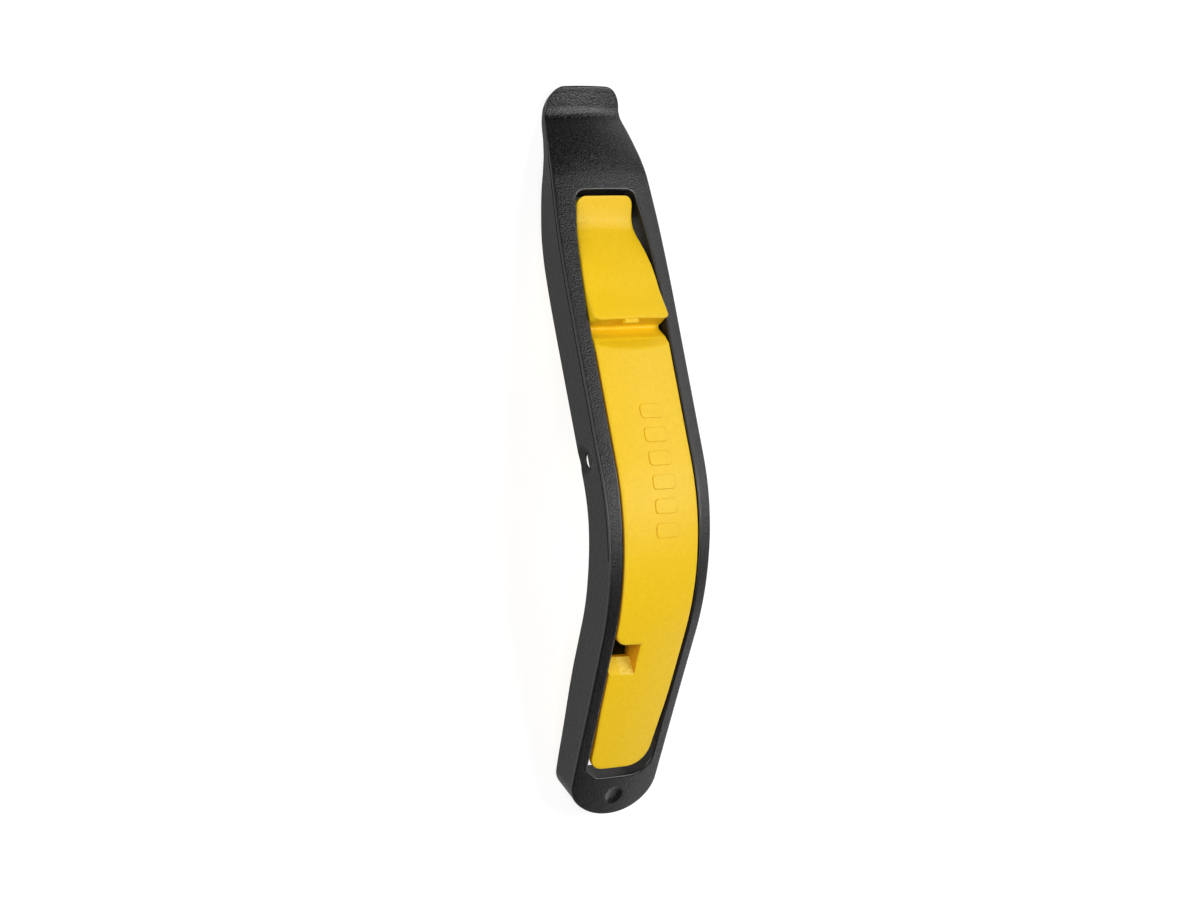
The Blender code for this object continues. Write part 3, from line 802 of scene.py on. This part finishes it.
def black_materials():
    front = moulded_plastic("black_nylon_grained",
                            colours=((0.0003, 0.0003, 0.0004), (0.0065, 0.0065, 0.0071)),
                            gloss=(0.25, 0.44), polish=0.06,
                            grain=(0.0005, 0.0005, 0.00042, 0.00026, 0.00013))
    side = moulded_plastic("black_nylon_satin",
                           colours=((0.0005, 0.0005, 0.0005), (0.005, 0.005, 0.005)),
                           gloss=(0.42, 0.54), polish=0.06, specular=0.3,
                           grain=(0.0007, 0.0009, 0.0006, 0.0004, 0.00012))
    edge = moulded_plastic("black_nylon_edge",
                           colours=((0.004, 0.004, 0.0042), (0.007, 0.007, 0.0073)),
                           gloss=(0.26, 0.34),
                           grain=(0.0013, 0.0016, 0.0012, 0.0008, 0.00004))
    return [front, side, edge]


def yellow_materials():
    satin = moulded_plastic("yellow_nylon_satin",
                            colours=((0.80, 0.505, 0.006), (0.84, 0.535, 0.009)),
                            gloss=(0.38, 0.50), specular=0.26,
                            grain=(0.0012, 0.0016, 0.001, 0.0006, 0.00006))
    grained = moulded_plastic("yellow_nylon_grained",
                              colours=((0.80, 0.52, 0.02), (0.92, 0.66, 0.08)),
                              gloss=(0.40, 0.60),
                              grain=(0.0006, 0.0007, 0.0006, 0.0004, 0.0003))
    # A deeper orange on the walls beside the body: painted shade, because the yellow plastic
    # itself is one colour.
    wall = moulded_plastic("yellow_nylon_painted_shade_wall",
                           colours=((0.62, 0.26, 0.003), (0.68, 0.30, 0.004)),
                           gloss=(0.42, 0.54), specular=0.26,
                           grain=(0.0012, 0.0016, 0.001, 0.0006, 0.00006))
    return [satin, grained, wall]


# ---------------------------------------------------------------- stage
def paint_floor():
    material = bpy.data.materials.new("pale_floor")
    material.use_nodes = True
    shader = material.node_tree.nodes["Principled BSDF"]
    shader.inputs["Base Color"].default_value = FLOOR_GREY
    shader.inputs["Emission Color"].default_value = (1.0, 1.0, 1.0, 1.0)
    shader.inputs["Emission Strength"].default_value = FLOOR_GLOW
    shader.inputs["Roughness"].default_value = 0.9
    shader.inputs["Specular IOR Level"].default_value = 0.1
    mesh = bpy.data.meshes.new("floor")
    work = bmesh.new()
    bmesh.ops.create_grid(work, x_segments=1, y_segments=1, size=FLOOR_SIZE)
    work.to_mesh(mesh)
    work.free()
    mesh.materials.append(material)
    floor = as_object("floor", mesh)
    floor.location.z = -FLOOR_DROP


def area_light(name, power, size, place, target):
    light = bpy.data.lights.new(name, "AREA")
    light.shape = "RECTANGLE"
    light.size, light.size_y = size
    light.energy = power
    lamp = bpy.data.objects.new(name, light)
    lamp.location = place
    aim = Vector(target) - Vector(place)
    lamp.rotation_euler = aim.to_track_quat("-Z", "Y").to_euler()
    bpy.context.scene.collection.objects.link(lamp)


def light_scene():
    """Three soft panels, and a room that is bright at the horizon and dark above it."""
    world = bpy.data.worlds.new("studio_room")
    world.use_nodes = True
    tree = world.node_tree
    direction = node(tree, "ShaderNodeTexCoord").outputs["Generated"]
    split = node(tree, "ShaderNodeSeparateXYZ")
    tree.links.new(direction, split.inputs["Vector"])
    room = ramp(tree, split.outputs["Z"], ROOM_STOPS)
    tree.links.new(room, tree.nodes["Background"].inputs["Color"])
    tree.nodes["Background"].inputs["Strength"].default_value = 1.0
    bpy.context.scene.world = world
    for name, (place, aim, size, power) in PANELS.items():
        area_light(name, power, size, place, aim)


def place_camera():
    camera = bpy.data.cameras.new("camera")
    camera.sensor_width = SENSOR_WIDTH
    camera.lens = CAMERA_LENS
    camera.clip_start = CAMERA_NEAR
    body = bpy.data.objects.new("camera", camera)
    body.location = CAMERA_PLACE
    turn = Matrix((CAMERA_RIGHT, CAMERA_UP, CAMERA_BACK)).transposed()
    body.rotation_euler = turn.to_euler()
    bpy.context.scene.collection.objects.link(body)
    bpy.context.scene.camera = body


def main():
    outer = make_outer()
    inner = make_inner()
    stub = gate_stub()
    placing = standing_matrix()
    for piece in (outer, inner, stub):
        bend(piece, placing)
    cut(inner, stub, "UNION")
    shift = shift_to_cad(outer)
    finish_surface(outer, black_materials(), shift)
    finish_surface(inner, yellow_materials(), shift)
    for piece, body, cad_node, slot in ((outer, "outer", "outer_lever", "black_nylon"),
                                        (inner, "inner", "inner_lever", "yellow_nylon")):
        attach(piece, body)
        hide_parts(cad_node)
    paint_floor()
    light_scene()
    place_camera()
    bpy.context.scene.view_settings.view_transform = "Standard"
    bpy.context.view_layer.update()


main()
